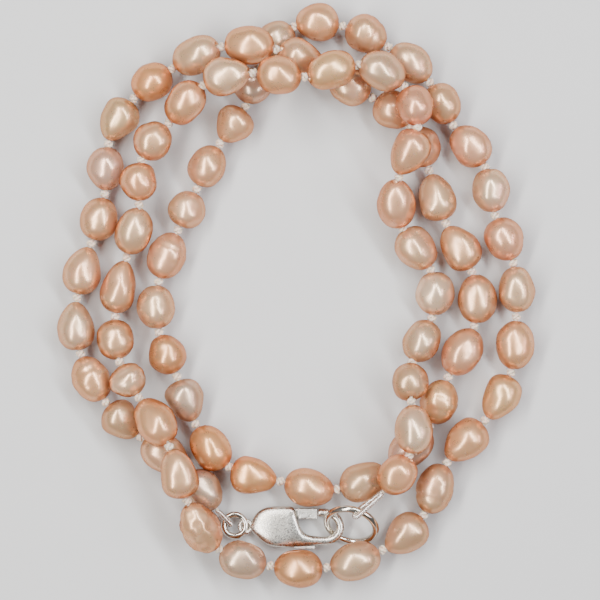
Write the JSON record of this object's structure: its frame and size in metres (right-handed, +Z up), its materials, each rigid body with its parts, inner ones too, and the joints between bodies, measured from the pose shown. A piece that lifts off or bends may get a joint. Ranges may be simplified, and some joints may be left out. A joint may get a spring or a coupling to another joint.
{
  "type": "pearl necklace",
  "caption": "Long knotted strand of peach freshwater pearls laid in three turns, closed by a silver lobster clasp on two rings.",
  "frame": {"origin": "under the middle of the laid coil, on the table", "axes": "+Z up from the table, +Y from the clasp towards the far side of the coil, +X to the right with the clasp nearest"},
  "size_m": [0.0887, 0.1079, 0.0181],
  "materials": {
    "pearl": "peach pearl nacre, lustrous",
    "silk": "twisted silk, pale ivory",
    "bullion": "fine coiled wire, bright",
    "ring_silver": "polished silver",
    "clasp_silver": "satin silver",
    "spring_steel": "spring steel"
  },
  "bodies": {
    "strand": {"pearl_01": "pearl", "pearl_02": "pearl", "pearl_03": "pearl", "pearl_04": "pearl", "pearl_05": "pearl", "pearl_06": "pearl", "pearl_07": "pearl", "pearl_08": "pearl", "pearl_09": "pearl", "pearl_10": "pearl", "pearl_11": "pearl", "pearl_12": "pearl", "pearl_13": "pearl", "pearl_14": "pearl", "pearl_15": "pearl", "pearl_16": "pearl", "pearl_17": "pearl", "pearl_18": "pearl", "pearl_19": "pearl", "pearl_20": "pearl", "pearl_21": "pearl", "pearl_22": "pearl", "pearl_23": "pearl", "pearl_24": "pearl", "pearl_25": "pearl", "pearl_26": "pearl", "pearls_27_28": "pearl", "pearls_29_30": "pearl", "pearls_31_32": "pearl", "pearls_33_34": "pearl", "pearls_35_36": "pearl", "pearls_37_38": "pearl", "pearls_39_40": "pearl", "pearls_41_42": "pearl", "pearls_43_44": "pearl", "pearls_45_46": "pearl", "pearls_47_48": "pearl", "pearls_49_50": "pearl", "pearls_51_52": "pearl", "pearls_53_54": "pearl", "pearls_55_56": "pearl", "pearls_57_58": "pearl", "pearls_59_60": "pearl", "pearls_61_62": "pearl", "pearls_63_64": "pearl", "pearls_65_66": "pearl", "pearls_67_68": "pearl", "pearls_69_70": "pearl", "pearls_71_72": "pearl", "pearls_73_74": "pearl", "silk_thread": "silk", "silk_knots": "silk", "french_wire_left": "bullion", "french_wire_right": "bullion"},
    "small_ring": {"small_ring": "ring_silver"},
    "clasp": {"clasp_body": "clasp_silver", "trigger_pin": "clasp_silver", "trigger_spring": "spring_steel"},
    "trigger": {"clasp_trigger": "clasp_silver"},
    "large_ring": {"large_ring": "ring_silver"}
  },
  "joints": [
    {"name": "small_ring_turn", "type": "hinge", "parent": "strand", "child": "small_ring", "pos_m": [-0.0115, -0.0421, 0.00175], "axis": [0, 0, 1], "continuous": true},
    {"name": "clasp_lift", "type": "hinge", "parent": "strand", "child": "clasp", "pos_m": [-0.0095, -0.04235, 0.00175], "axis": [0, -1, 0], "range_deg": [0, 4]},
    {"name": "trigger_press", "type": "hinge", "parent": "clasp", "child": "trigger", "pos_m": [-0.00102, -0.03995, 0.00225], "axis": [-0.0593, 0, 0.9982], "range_deg": [-12, 0], "stiffness_Nm_per_rad": 0.001, "springref_deg": 17.19, "deforming": ["trigger_spring"]},
    {"name": "large_ring_tilt", "type": "hinge", "parent": "strand", "child": "large_ring", "pos_m": [0.01156, -0.03933, 0.00751], "axis": [0, 1, 0], "range_deg": [0, 10]}
  ],
  "couplings": [
    {"joint": "large_ring_tilt", "follows": "clasp_lift", "ratio": 2.5}
  ]
}
